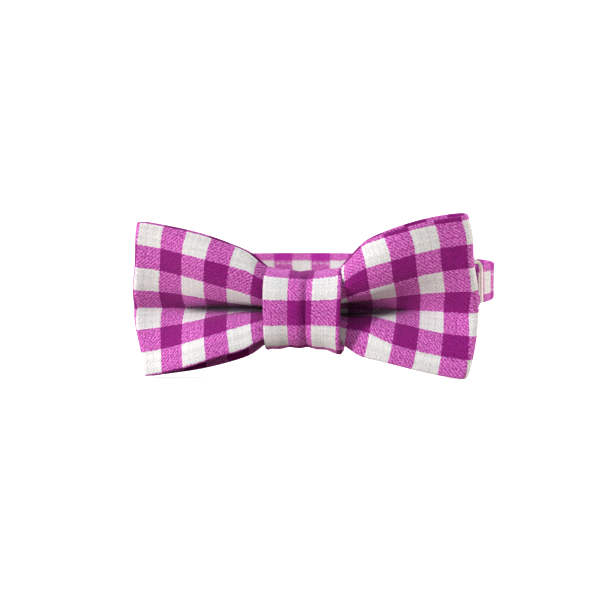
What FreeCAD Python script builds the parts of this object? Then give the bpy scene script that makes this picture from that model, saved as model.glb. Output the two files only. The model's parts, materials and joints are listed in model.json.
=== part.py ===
# Pre-tied bow tie: a gathered cotton bow, its knot, and a neckband with slide, hook and eye.
# Millimetres. Origin in the middle of the neckband's ring, half way up the band; +X to the
# viewer's right, front towards -Y, +Z up. Every sub-part is drawn about the middle of the knot,
# then its Placement moves it so that the ring's middle is the origin.
# Angles on the ring are measured about its upright axis from +X, anticlockwise seen from above,
# so the knot sits at -90 degrees.
import FreeCAD, Part
import os

import Sketcher

DIMENSIONS = (
    # knot: a cloth strip wrapped round the gathered middle of the bow
    ("knot_width", 20.0), ("knot_height", 20.7), ("knot_front", 10.0), ("knot_back", 5.6),
    ("knot_cloth", 0.8), ("knot_corner", 3.0), ("knot_back_corner", 1.0), ("knot_overlap", 5.0),
    ("knot_lining", 0.6),
    # bow: one strip folded into a loop, with a front leaf, a back leaf and two outer folds
    ("leaf", 1.6), ("leaf_cavity", 0.7), ("leaf_lining", 0.6), ("leaf_hem", 0.8),
    ("bow_half", 40.5), ("bow_pinch", 9.5), ("bow_end_gap", 2.5), ("fold_radius", 4.0),
    ("front_leaf", 5.0), ("back_leaf", 1.4), ("front_fold", 7.6),
    ("front_swell", 45.0), ("back_swell", 50.0),
    ("pinch_height", 8.0), ("mouth", 10.3), ("wing_start", 10.9), ("wing_reach", 47.0),
    ("start_top", 12.0), ("start_base", 11.0), ("wing_top", 24.0), ("wing_base", 17.7),
    ("top_radius", 60.0), ("base_radius", 130.0),
    # threads
    ("gather_thread", 0.5), ("gather_pitch", 0.8), ("stitch", 0.4), ("stitch_gap", 0.02),
    # neckband
    ("loop_centre", 52.2), ("band_width", 11.6), ("band_rise", 3.5), ("band_cloth", 0.9),
    ("band_cavity", 0.4), ("band_lining", 0.3), ("band_hem", 0.6),
    ("inner_radius", 46.45), ("outer_radius", 49.45), ("root_depth", 3.0),
    ("left_root", 10.4), ("right_root", 10.9), ("left_settle", 235.5), ("right_settle", -66.6),
    ("turn_back", 8.0), ("lining_short", 0.7), ("cavity_long", 2.0),
    # slide on the right band
    ("slide_angle", -31.0), ("slide_length", 11.0), ("slide_height", 15.0), ("slide_plate", 1.4),
    ("slide_corner", 3.6), ("slide_soft", 0.55), ("slide_window", 8.0), ("slide_slot", 12.2),
    ("slide_gap", 0.15), ("slide_rod", 1.0), ("slide_wrap", 1.0), ("slide_post", 1.2),
    ("tail_turn", 5.0), ("tail_gap", 0.5), ("tail_narrow", 0.8), ("tail_drop", 0.15),
    # hook and eye, both in one plane that cuts the ring's circle at their two rods
    ("clasp_angle", 52.0), ("clasp_half", 6.85), ("clasp_rod", 1.6), ("clasp_plate", 1.2),
    ("clasp_height", 14.0), ("clasp_slot", 12.0), ("clasp_rim", 1.6), ("eye_window", 8.1),
    ("eye_bar", 1.6), ("clasp_corner", 1.4), ("hook_window", 2.3), ("hook_web", 1.2),
    ("clasp_soft", 0.3), ("tongue", 1.0), ("tongue_width", 7.0), ("tongue_gap", 0.15),
    ("tongue_reach", 11.4), ("lip", 1.0), ("lip_depth", 1.6),
)

KNOT_STITCHES = 5
TACK_ROWS = 2
TACK_PINS = 5
SKETCH_PLANES = {
    "XY": FreeCAD.Rotation(),
    "XZ": FreeCAD.Rotation(FreeCAD.Vector(1, 0, 0), 90),
    "YZ": FreeCAD.Rotation(FreeCAD.Vector(1, 1, 1), 120),
}
Z_AXIS = FreeCAD.Vector(0, 0, 1)
FLAT = 0.01

doc = FreeCAD.newDocument("BowTie")
sheet = doc.addObject("Spreadsheet::Sheet", "Sizes")


def fill_sheet():
    """Put every driving dimension in a cell of its own, under its own name."""
    for row, (alias, size) in enumerate(DIMENSIONS, start=1):
        sheet.set(f"A{row}", alias)
        sheet.set(f"B{row}", str(size))
        sheet.setAlias(f"B{row}", alias)
    doc.recompute()


def bind(item, **sizes):
    """Bind properties of an object to expressions of the sheet's cells."""
    for name, expression in sizes.items():
        item.setExpression(name.replace("__", "."), expression)
    return item


def number(expression):
    """The plain number that an expression of the sheet's cells gives now."""
    result = sheet.evalExpression(expression)
    return float(getattr(result, "Value", result))


# ---------------------------------------------------------------- sketches and strips

def arc_between(start, end, radius, turn):
    """The arc of a radius from start to end, shorter way, turning left (+1) or right (-1)."""
    chord = end - start
    half = chord.Length / 2
    rise = max(radius * radius - half * half, 0.0) ** 0.5
    normal = Z_AXIS.cross(chord).normalize() * turn
    centre = (start + end) / 2 + normal * rise
    circle = Part.Circle(centre, Z_AXIS, radius)
    first, last = (start, end) if turn > 0 else (end, start)
    return Part.ArcOfCircle(circle, circle.parameter(first), circle.parameter(last))


def long_arc(start, end, centre, turn):
    """The arc about a centre from start to end, turning left (+1) or right (-1)."""
    circle = Part.Circle(centre, Z_AXIS, (start - centre).Length)
    first, last = (start, end) if turn > 0 else (end, start)
    return Part.ArcOfCircle(circle, circle.parameter(first), circle.parameter(last))


def fix(sketch, expression, kind, *places):
    """Add a sketch constraint and bind its size to an expression."""
    rule = sketch.addConstraint(Sketcher.Constraint(kind, *places, number(expression)))
    sketch.setExpression(f"Constraints[{rule}]", expression)


def path(name, corners, arcs=None, plane="XY", closed=False):
    """A sketch through corners (pairs of expressions).

    arcs gives, for the stretch that starts at a corner's number, (radius expression, turn) or
    (radius expression, turn, centre corner); every other stretch is straight.
    """
    arcs = arcs or {}
    sketch = doc.addObject("Sketcher::SketchObject", name)
    sketch.Placement = FreeCAD.Placement(FreeCAD.Vector(), SKETCH_PLANES[plane])
    spots = [FreeCAD.Vector(number(x), number(y), 0) for x, y in corners]
    count = len(corners) if closed else len(corners) - 1
    starts, ends = [], []
    for index in range(count):
        start, end = spots[index], spots[(index + 1) % len(spots)]
        if index in arcs:
            radius, turn, *centre = arcs[index]
            if centre:
                middle = FreeCAD.Vector(number(centre[0][0]), number(centre[0][1]), 0)
                stretch = long_arc(start, end, middle, turn)
            else:
                stretch = arc_between(start, end, number(radius), turn)
            piece = sketch.addGeometry(stretch, False)
            starts.append((piece, 1 if turn > 0 else 2))
            ends.append((piece, 2 if turn > 0 else 1))
            if centre:
                sideways = abs(end.y - start.y) > abs(end.x - start.x)
                kind, place = ("DistanceX", centre[0][0]) if sideways else ("DistanceY", centre[0][1])
                fix(sketch, place, kind, -1, 1, piece, 3)
            else:
                fix(sketch, radius, "Radius", piece)
        else:
            piece = sketch.addGeometry(Part.LineSegment(start, end), False)
            starts.append((piece, 1))
            ends.append((piece, 2))
    for index in range(count - 1 + closed):
        after = (index + 1) % count
        sketch.addConstraint(Sketcher.Constraint("Coincident", *ends[index], *starts[after]))
    places = starts if closed else starts + ends[-1:]
    for (piece, end), (x, y) in zip(places, corners):
        fix(sketch, x, "DistanceX", -1, 1, piece, end)
        fix(sketch, y, "DistanceY", -1, 1, piece, end)
    return sketch


def extrude(name, base, forward, back):
    """A solid from a flat outline, pulled both ways along its normal."""
    solid = doc.addObject("Part::Extrusion", name)
    solid.Base = base
    solid.DirMode = "Normal"
    solid.Solid = True
    return bind(solid, LengthFwd=forward, LengthRev=back)


def strip(name, centre_line, thickness, forward, back):
    """Cloth of a thickness that follows an open centre line."""
    outline = doc.addObject("Part::Offset2D", name + "_outline")
    outline.Source = centre_line
    outline.Join = "Arc"
    outline.Fill = True
    bind(outline, Value=f"({thickness}) / 2")
    return extrude(name, outline, forward, back)


def grown(name, outline, amount):
    """A closed outline moved outwards by an amount, or inwards if it is negative."""
    moved = doc.addObject("Part::Offset2D", name)
    moved.Source = outline
    moved.Join = "Intersection"
    bind(moved, Value=amount)
    return moved


def cut(name, base, tool):
    result = doc.addObject("Part::Cut", name)
    result.Base = base
    result.Tool = tool
    return result


def common(name, first, second):
    result = doc.addObject("Part::MultiCommon", name)
    result.Shapes = [first, second]
    return result


def fuse(name, *pieces):
    result = doc.addObject("Part::MultiFuse", name)
    result.Shapes = list(pieces)
    result.Refine = True
    return result


def group(name, pieces):
    """Separate identical solids that share one node."""
    result = doc.addObject("Part::Compound", name)
    result.Links = pieces
    return result


def block(name, x, y, z, width, depth, height):
    """A box centred on x, y and z; every argument is an expression."""
    box = doc.addObject("Part::Box", name)
    bind(box, Length=width, Width=depth, Height=height)
    return bind(
        box,
        Placement__Base__x=f"({x}) - ({width}) / 2",
        Placement__Base__y=f"({y}) - ({depth}) / 2",
        Placement__Base__z=f"({z}) - ({height}) / 2",
    )


def rod(name, x, y, z, diameter, length):
    """An upright cylinder centred on x, y and z; every argument is an expression."""
    bar = doc.addObject("Part::Cylinder", name)
    bind(bar, Radius=f"({diameter}) / 2", Height=length)
    return bind(
        bar,
        Placement__Base__x=x,
        Placement__Base__y=y,
        Placement__Base__z=f"({z}) - ({length}) / 2",
    )


def rounded(name, base, radius, along):
    """Round the straight edges of a plate that run through its thickness (0, 1 or 2 is its axis)."""
    return fillet(name, base, radius, lambda box: size_along(box, along) > FLAT)


def softened(name, base, radius, along):
    """Round the rims of a plate's two faces, which lie flat across its thickness."""
    return fillet(name, base, radius, lambda box: size_along(box, along) < FLAT)


def size_along(box, axis):
    return (box.XLength, box.YLength, box.ZLength)[axis]


def fillet(name, base, radius, wanted):
    """Round the edges of a solid whose bounding boxes are the wanted ones."""
    doc.recompute()
    edges = [(index, radius, radius) for index, edge in enumerate(base.Shape.Edges, start=1)
             if wanted(edge.BoundBox)]
    result = doc.addObject("Part::Fillet", name)
    result.Base = base
    result.Edges = edges
    return result


def on_ring(item, angle):
    """Turn a piece drawn about the ring's axis to its angle on the ring."""
    return bind(item, Placement__Base__z="-Sizes.band_rise", Placement__Rotation__Angle=angle)


def from_knot(item):
    """Move a piece drawn about the middle of the knot to its place beside the ring's middle."""
    return bind(item, Placement__Base__y="-Sizes.loop_centre",
                Placement__Base__z="-Sizes.band_rise")


def label(item, name):
    item.Label = name
    return item


# ---------------------------------------------------------------- bow

def bow_line(name, end_gap):
    """The strip's centre line seen from above: back leaf, fold, front leaf, fold, back leaf."""
    half = (
        (end_gap, "-Sizes.back_leaf"),
        ("Sizes.bow_pinch", "-Sizes.back_leaf"),
        ("Sizes.bow_half", "2 * Sizes.fold_radius - Sizes.front_fold"),
        ("Sizes.bow_half", "-Sizes.front_fold"),
        ("Sizes.bow_pinch", "-Sizes.front_leaf"),
    )
    mirrored = [(f"-({x})", y) for x, y in reversed(half)]
    fold = ("Sizes.fold_radius", -1, ("Sizes.bow_half", "Sizes.fold_radius - Sizes.front_fold"))
    far_fold = (fold[0], -1, (f"-{fold[2][0]}", fold[2][1]))
    front = ("Sizes.front_swell", -1)
    back = ("Sizes.back_swell", -1)
    arcs = {1: back, 2: fold, 3: front, 5: front, 6: far_fold, 7: back}
    return path(name, list(half) + mirrored, arcs)


def wing_outline():
    """The bow seen from the front: narrow inside the knot, fanned out in the wings."""
    half = (
        ("Sizes.mouth", "Sizes.pinch_height"),
        ("Sizes.wing_start", "Sizes.start_top"),
        ("Sizes.wing_reach", "Sizes.wing_top"),
        ("Sizes.wing_reach", "-Sizes.wing_base"),
        ("Sizes.wing_start", "-Sizes.start_base"),
        ("Sizes.mouth", "-Sizes.pinch_height"),
    )
    mirrored = [(f"-{x}", y) for x, y in reversed(half)]
    top = ("Sizes.top_radius", -1)
    base = ("Sizes.base_radius", -1)
    return path("wing_outline", list(half) + mirrored, {1: top, 3: base, 7: base, 9: top},
                plane="XZ", closed=True)


def bow_layer(name, end_gap, thickness, outline):
    """One layer of the bow: a strip of a thickness, trimmed to an outline."""
    tall = "2 * Sizes.wing_top"
    line = bow_line(name + "_line", end_gap)
    leaves = strip(name + "_leaves", line, thickness, tall, tall)
    fan = extrude(name + "_fan", outline, "Sizes.knot_front * 2", "Sizes.knot_front * 2")
    return common(name, leaves, fan)


def make_bow():
    outline = wing_outline()
    hem = grown("hem_outline", outline, "-Sizes.leaf_hem")
    lining_outline = grown("lining_outline", outline, "-Sizes.leaf_hem - Sizes.stitch_gap * 2")
    cloth = bow_layer("bow_cloth", "Sizes.bow_end_gap", "Sizes.leaf", outline)
    pocket = bow_layer("bow_pocket", "Sizes.bow_end_gap - 1", "Sizes.leaf_cavity", hem)
    lining = bow_layer("bow_lining", "Sizes.bow_end_gap + Sizes.lining_short",
                       "Sizes.leaf_lining", lining_outline)
    return [
        label(from_knot(cut("bow_fabric", cloth, pocket)), "bow_shell"),
        label(from_knot(lining), "bow_interlining"),
        label(from_knot(make_gather_thread()), "gather_thread"),
        label(from_knot(make_end_stitches()), "bow_end_stitches"),
    ]


def make_gather_thread():
    """Three turns of thread round both leaves, at the waist of the bow."""
    clear = "(Sizes.leaf / 2 + Sizes.gather_thread / 2 + 0.1)"
    front = f"-Sizes.front_leaf - {clear}"
    back = f"-Sizes.back_leaf + {clear}"
    high = "Sizes.pinch_height + Sizes.gather_thread / 2 + 0.1"
    corners = ((front, f"-({high})"), (back, f"-({high})"), (back, high), (front, high))
    turn = path("gather_turn", corners, plane="YZ", closed=True)
    inner = grown("gather_inner", turn, "-Sizes.gather_thread / 2")
    outer = grown("gather_outer", turn, "Sizes.gather_thread / 2")
    half = "Sizes.gather_thread / 2"
    turns = []
    for number_of_turn in (-1, 0, 1):
        wide = extrude(f"gather_wide_{number_of_turn + 1}", outer, half, half)
        hole = extrude(f"gather_hole_{number_of_turn + 1}", inner, half + " * 2", half + " * 2")
        ring = cut(f"gather_ring_{number_of_turn + 1}", wide, hole)
        turns.append(bind(ring, Placement__Base__x=f"{number_of_turn} * Sizes.gather_pitch"))
    return group("gather_turns", turns)


def make_end_stitches():
    """Stitches that lie across the gap between the strip's two raw ends, behind the thread."""
    behind = "-Sizes.back_leaf + Sizes.leaf / 2 + Sizes.gather_thread + Sizes.stitch"
    stitches = []
    for side in (-1, 1):
        stitches.append(block(f"end_stitch_{side + 1}", "0", behind,
                              f"{side} * Sizes.pinch_height / 2", "Sizes.bow_end_gap * 3",
                              "Sizes.stitch", "Sizes.stitch"))
    return group("end_stitches", stitches)


# ---------------------------------------------------------------- knot

def wrap_line():
    """The knot strip's centre line, seen along X: once round, overlapping at the back."""
    half_cloth = "Sizes.knot_cloth / 2"
    outer = f"Sizes.knot_back - {half_cloth}"
    inner = f"{outer} - Sizes.knot_cloth - 0.1"
    front = f"-Sizes.knot_front + {half_cloth}"
    high = f"Sizes.knot_height / 2 - {half_cloth}"
    low = f"-({high})"
    turn = "Sizes.knot_corner"
    tight = "Sizes.knot_back_corner"
    corners = (
        (inner, "-Sizes.knot_overlap"), (inner, f"{high} - {tight}"),
        (f"{inner} - {tight}", high), (f"{front} + {turn}", high),
        (front, f"{high} - {turn}"), (front, f"{low} + {turn}"),
        (f"{front} + {turn}", low), (f"{outer} - {tight}", low),
        (outer, f"{low} + {tight}"), (outer, "Sizes.knot_overlap"),
    )
    arcs = {1: (tight, 1), 3: (turn, 1), 5: (turn, 1), 7: (tight, 1)}
    return path("wrap_line", corners, arcs, plane="YZ")


def lining_line():
    """The knot's interlining, just inside the strip: over the top, down the front, under."""
    inside = "Sizes.knot_cloth + Sizes.knot_lining / 2 + 0.1"
    front = f"-Sizes.knot_front + {inside}"
    high = f"Sizes.knot_height / 2 - ({inside})"
    turn = "(Sizes.knot_corner - Sizes.knot_cloth / 2 - Sizes.knot_lining / 2)"
    corners = (
        ("0", high), (f"{front} + {turn}", high), (front, f"{high} - {turn}"),
        (front, f"-({high}) + {turn}"), (f"{front} + {turn}", f"-({high})"), ("0", f"-({high})"),
    )
    return path("knot_lining_line", corners, {1: (turn, 1), 3: (turn, 1)}, plane="YZ")


def make_knot():
    half = "Sizes.knot_width / 2"
    wrap = strip("wrap", wrap_line(), "Sizes.knot_cloth", half, half)
    inset = f"{half} - Sizes.leaf_hem"
    lining = strip("knot_liner", lining_line(), "Sizes.knot_lining", inset, inset)
    stitches = []
    for index in range(KNOT_STITCHES):
        across = f"({index} - {KNOT_STITCHES - 1} / 2) * Sizes.knot_width / {KNOT_STITCHES + 1}"
        stitches.append(rod(
            f"knot_stitch_{index + 1}", across,
            "Sizes.knot_back + Sizes.stitch / 2 + Sizes.stitch_gap", "Sizes.knot_overlap",
            "Sizes.stitch", "Sizes.knot_cloth * 3"))
    return [
        label(from_knot(wrap), "knot_wrap"),
        label(from_knot(lining), "knot_interlining"),
        label(from_knot(group("knot_sewing", stitches)), "knot_stitches"),
    ]


# ---------------------------------------------------------------- neckband

BAND_UP = "Sizes.band_rise + Sizes.band_width / 2"
BAND_DOWN = "Sizes.band_width / 2 - Sizes.band_rise"
ROD_RADIUS = "((Sizes.inner_radius + Sizes.outer_radius) / 2)"
CLASP_SWING = f"asin(Sizes.clasp_half / {ROD_RADIUS})"
EYE_ANGLE = f"(Sizes.clasp_angle * 1 deg + {CLASP_SWING})"
HOOK_ANGLE = f"(Sizes.clasp_angle * 1 deg - {CLASP_SWING})"
CLASP_PLANE = f"({ROD_RADIUS} * cos({CLASP_SWING}))"


def degrees(angle):
    return angle if "deg" in angle else f"({angle}) * 1 deg"


def ring_point(radius, angle):
    """A point of the ring, as a pair of expressions."""
    return (f"{radius} * cos({degrees(angle)})",
            f"Sizes.loop_centre + {radius} * sin({degrees(angle)})")


LOOP_AXIS = ("0", "Sizes.loop_centre")
TURN_RADIUS = "((Sizes.outer_radius - Sizes.inner_radius) / 2)"


def left_line(name, start, end_angle):
    """Through the knot, round the wearer's neck to the eye, round its rod and back outside."""
    corners = (
        (start, "Sizes.root_depth"),
        ("-Sizes.left_root", "Sizes.root_depth"),
        ring_point("Sizes.inner_radius", "Sizes.left_settle"),
        ring_point("Sizes.inner_radius", EYE_ANGLE),
        ring_point("Sizes.outer_radius", EYE_ANGLE),
        ring_point("Sizes.outer_radius", end_angle),
    )
    arcs = {
        2: ("Sizes.inner_radius", -1, LOOP_AXIS),
        3: (TURN_RADIUS, 1, ring_point(ROD_RADIUS, EYE_ANGLE)),
        4: ("Sizes.outer_radius", 1, LOOP_AXIS),
    }
    return path(name, corners, arcs)


def right_line(name, end_angle):
    """From the knot round to the hook, round its rod and back inside."""
    corners = (
        ("Sizes.right_root", "Sizes.root_depth"),
        ring_point("Sizes.outer_radius", "Sizes.right_settle"),
        ring_point("Sizes.outer_radius", HOOK_ANGLE),
        ring_point("Sizes.inner_radius", HOOK_ANGLE),
        ring_point("Sizes.inner_radius", end_angle),
    )
    arcs = {
        1: ("Sizes.outer_radius", 1, LOOP_AXIS),
        2: (TURN_RADIUS, 1, ring_point(ROD_RADIUS, HOOK_ANGLE)),
        3: ("Sizes.inner_radius", -1, LOOP_AXIS),
    }
    return path(name, corners, arcs)


def band(name, lines):
    """A folded cloth band with its interlining, from three centre lines of growing length."""
    lining_line_, cloth_line, pocket_line = lines
    short = "Sizes.band_hem"
    slack = "(Sizes.band_hem + Sizes.stitch_gap * 2)"
    cloth = strip(name + "_cloth", cloth_line, "Sizes.band_cloth", BAND_UP, BAND_DOWN)
    pocket = strip(name + "_pocket", pocket_line, "Sizes.band_cavity",
                   f"{BAND_UP} - {short}", f"{BAND_DOWN} - {short}")
    lining = strip(name + "_lining", lining_line_, "Sizes.band_lining",
                   f"{BAND_UP} - {slack}", f"{BAND_DOWN} - {slack}")
    return [
        label(from_knot(cut(name + "_fabric", cloth, pocket)), name),
        label(from_knot(lining), name + "_interlining"),
    ]


def bar_tack(name, radius, angle):
    """Two upright rows of thread across a fold, lying on a band's outer face."""
    rows = []
    for index in range(TACK_ROWS):
        row = block(f"{name}_row_{index + 1}",
                    f"{radius} + Sizes.stitch / 2 + Sizes.stitch_gap * 2",
                    f"{index} * Sizes.stitch * 2", "Sizes.band_rise",
                    "Sizes.stitch", "Sizes.stitch", "Sizes.band_width * 0.7")
        rows.append(row)
    tack = on_ring(group(name + "_rows", rows), angle)
    return label(tack, name)


def make_left_band():
    fold = f"{EYE_ANGLE} + Sizes.turn_back * 1 deg"
    lines = (
        left_line("left_lining_line", "Sizes.left_root - Sizes.lining_short", f"{fold} - 1 deg"),
        left_line("left_cloth_line", "Sizes.left_root - Sizes.band_cloth / 2 - 0.2", fold),
        left_line("left_pocket_line", "Sizes.left_root + Sizes.cavity_long",
                  f"{fold} + Sizes.cavity_long * 1 deg"),
    )
    outside = "Sizes.outer_radius + Sizes.band_cloth / 2"
    tack = bar_tack("eye_bar_tack", outside, f"{EYE_ANGLE} + Sizes.turn_back / 2 * 1 deg")
    return band("left_band", lines) + [tack]


def make_right_band():
    fold = f"{HOOK_ANGLE} - Sizes.turn_back * 1 deg"
    lines = (
        right_line("right_lining_line", f"{fold} + 1 deg"),
        right_line("right_cloth_line", fold),
        right_line("right_pocket_line", f"{fold} - Sizes.cavity_long * 1 deg"),
    )
    outside = "Sizes.outer_radius + Sizes.band_cloth / 2"
    tack = bar_tack("hook_bar_tack", outside, f"{HOOK_ANGLE} - Sizes.turn_back / 2 * 1 deg")
    return band("right_band", lines) + [tack]


# ---------------------------------------------------------------- slide and the band's tail

WRAP_RADIUS = "Sizes.inner_radius + 2 * Sizes.slide_wrap"
SLIDE_ROD = "Sizes.inner_radius + Sizes.slide_wrap"
SLIDE_FACE = "(Sizes.outer_radius + Sizes.band_cloth / 2 + Sizes.slide_gap)"


def make_slide():
    """A flat ring outside the band, and a rod inside it that carries the band's tail."""
    middle = f"{SLIDE_FACE} + Sizes.slide_plate / 2"
    plate = block("slide_plate_block", middle, "0", "Sizes.band_rise",
                  "Sizes.slide_plate", "Sizes.slide_length", "Sizes.slide_height")
    rim = rounded("slide_rim", plate, number("Sizes.slide_corner"), 0)
    hole = block("slide_hole", middle, "0", "Sizes.band_rise",
                 "Sizes.slide_plate * 2", "Sizes.slide_window", "Sizes.slide_slot")
    soft_hole = rounded("slide_soft_hole", hole, number("Sizes.slide_corner / 2"), 0)
    ring = softened("slide_ring", cut("slide_blank", rim, soft_hole), number("Sizes.slide_soft"), 0)
    post_depth = f"({middle} - ({SLIDE_ROD}) + Sizes.slide_rod / 2)"
    pieces = [ring]
    for side in (-1, 1):
        pieces.append(block(
            f"slide_post_{side + 1}", f"({middle} + {SLIDE_ROD} - Sizes.slide_rod / 2) / 2", "0",
            f"Sizes.band_rise + {side} * (Sizes.slide_slot + Sizes.slide_post) / 2",
            post_depth, "Sizes.slide_post", "Sizes.slide_post"))
    pieces.append(rod("slide_cross_rod", SLIDE_ROD, "0", "Sizes.band_rise",
                      "Sizes.slide_rod", "Sizes.slide_slot + Sizes.slide_post"))
    return label(on_ring(fuse("slide_body", *pieces), "Sizes.slide_angle * 1 deg"), "slide")


def make_tail():
    """The band's returned end: inside the ring from the hook to the slide, round its rod."""
    start = f"{HOOK_ANGLE} - (Sizes.turn_back + Sizes.tail_gap) * 1 deg - 1 deg"
    corners = (
        ring_point("Sizes.inner_radius", start),
        ring_point("Sizes.inner_radius", "Sizes.slide_angle"),
        ring_point(f"({WRAP_RADIUS})", "Sizes.slide_angle"),
        ring_point(f"({WRAP_RADIUS})", "Sizes.slide_angle + Sizes.tail_turn"),
    )
    arcs = {
        0: ("Sizes.inner_radius", -1, LOOP_AXIS),
        1: ("Sizes.slide_wrap", 1, ring_point(f"({SLIDE_ROD})", "Sizes.slide_angle")),
        2: (WRAP_RADIUS, 1, LOOP_AXIS),
    }
    line = path("tail_line", corners, arcs)
    up = f"{BAND_UP} - Sizes.tail_narrow"
    down = f"{BAND_DOWN} + Sizes.tail_drop"
    tail = strip("tail", line, "Sizes.band_cloth", up, down)
    return label(from_knot(tail), "band_tail")


def make_tail_tack():
    """Pins of thread between the tail's two layers, just past the slide's rod."""
    pins = []
    for index in range(TACK_PINS):
        height = (f"Sizes.band_rise + ({index} - {TACK_PINS - 1} / 2)"
                  f" * Sizes.band_width / {TACK_PINS + 1}")
        pins.append(block(
            f"tail_pin_{index + 1}", SLIDE_ROD, "0", height,
            "2 * Sizes.slide_wrap - Sizes.band_cloth - Sizes.stitch_gap * 4",
            "Sizes.stitch", "Sizes.stitch"))
    angle = "(Sizes.slide_angle + Sizes.tail_turn * 0.7) * 1 deg"
    return label(on_ring(group("tail_pins", pins), angle), "slide_bar_tack")


# ---------------------------------------------------------------- hook and eye

def clasp_frame(name, side, window, bar):
    """A stamped frame: a rod for the band, two rails and a cross bar.

    side is 1 for the eye and -1 for the hook, which faces it.
    """
    length = f"({window} + {bar})"
    middle = f"{side} * (Sizes.clasp_half - {length} / 2)"
    plate = block(name + "_plate", CLASP_PLANE, middle, "Sizes.band_rise",
                  "Sizes.clasp_plate", length, "Sizes.clasp_height")
    rim = rounded(name + "_rim", plate, number("Sizes.clasp_corner / 2"), 0)
    gap = block(name + "_gap", CLASP_PLANE, f"{side} * (Sizes.clasp_half - {window} / 2 + 1)",
                "Sizes.band_rise", "Sizes.clasp_plate * 2", f"{window} + 2", "Sizes.clasp_slot")
    blank = cut(name + "_blank", rim, gap)
    frame = softened(name + "_frame", blank, number("Sizes.clasp_soft"), 0)
    pivot = rod(name + "_rod", CLASP_PLANE, f"{side} * Sizes.clasp_half", "Sizes.band_rise",
                "Sizes.clasp_rod", "Sizes.clasp_height")
    return [frame, pivot]


def make_eye():
    pieces = clasp_frame("eye", 1, "Sizes.eye_window", "Sizes.eye_bar")
    return label(on_ring(fuse("eye_body", *pieces), "Sizes.clasp_angle * 1 deg"), "eye")


def make_hook():
    """The frame, a tongue that passes outside the eye's bar, and a lip down into its window."""
    pieces = clasp_frame("hook", -1, "Sizes.hook_window", "Sizes.hook_web")
    under = "(Sizes.clasp_plate / 2 + Sizes.tongue_gap)"
    reach = "(Sizes.tongue_reach - Sizes.hook_window)"
    tongue = block("hook_tongue", f"{CLASP_PLANE} + {under} + Sizes.tongue / 2",
                   f"-Sizes.clasp_half + Sizes.hook_window + {reach} / 2", "Sizes.band_rise",
                   "Sizes.tongue", reach, "Sizes.tongue_width")
    step = block("hook_step", f"{CLASP_PLANE} + {under} / 2 + Sizes.tongue / 2",
                 "-Sizes.clasp_half + Sizes.hook_window + Sizes.hook_web / 2",
                 "Sizes.band_rise", f"{under} + Sizes.tongue", "Sizes.hook_web",
                 "Sizes.tongue_width")
    lip = block("hook_lip", f"{CLASP_PLANE} + {under} + Sizes.tongue - Sizes.lip_depth / 2"
                " - Sizes.tongue / 2", "-Sizes.clasp_half + Sizes.tongue_reach - Sizes.lip / 2",
                "Sizes.band_rise", "Sizes.lip_depth + Sizes.tongue", "Sizes.lip",
                "Sizes.tongue_width")
    body = fuse("hook_body", *pieces, tongue, step, lip)
    return label(on_ring(body, "Sizes.clasp_angle * 1 deg"), "hook")


# ---------------------------------------------------------------- check and export

def check(parts):
    """Stop before anything is written if an object failed or a sub-part isn't a good solid."""
    for item in doc.Objects:
        if {"Invalid", "Error"} & set(item.State):
            raise RuntimeError(f"{item.Name} failed: {item.State}")
    for part in parts:
        shape = part.Shape
        if shape.isNull() or not shape.isValid() or not shape.Solids:
            raise RuntimeError(f"{part.Label} has no valid solid")
        if min(solid.Volume for solid in shape.Solids) <= 0:
            raise RuntimeError(f"{part.Label} has an empty solid")


def export(parts):
    os.makedirs("parts", exist_ok=True)
    for part in parts:
        part.Shape.exportStep(f"parts/{part.Label}.step")
        box = part.Shape.BoundBox
        print(f"{part.Label:24s} solids {len(part.Shape.Solids)}  volume {part.Shape.Volume:9.2f}"
              f"  x {box.XMin:7.2f} {box.XMax:7.2f}  y {box.YMin:7.2f} {box.YMax:7.2f}"
              f"  z {box.ZMin:7.2f} {box.ZMax:7.2f}")


def main():
    fill_sheet()
    parts = make_bow() + make_knot() + make_left_band() + make_right_band()
    parts += [make_tail(), make_slide(), make_tail_tack(), make_eye(), make_hook()]
    doc.recompute()
    check(parts)
    export(parts)


main()
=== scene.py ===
import json
import math

import bpy
import numpy as np
from mathutils import Matrix, Vector


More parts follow.
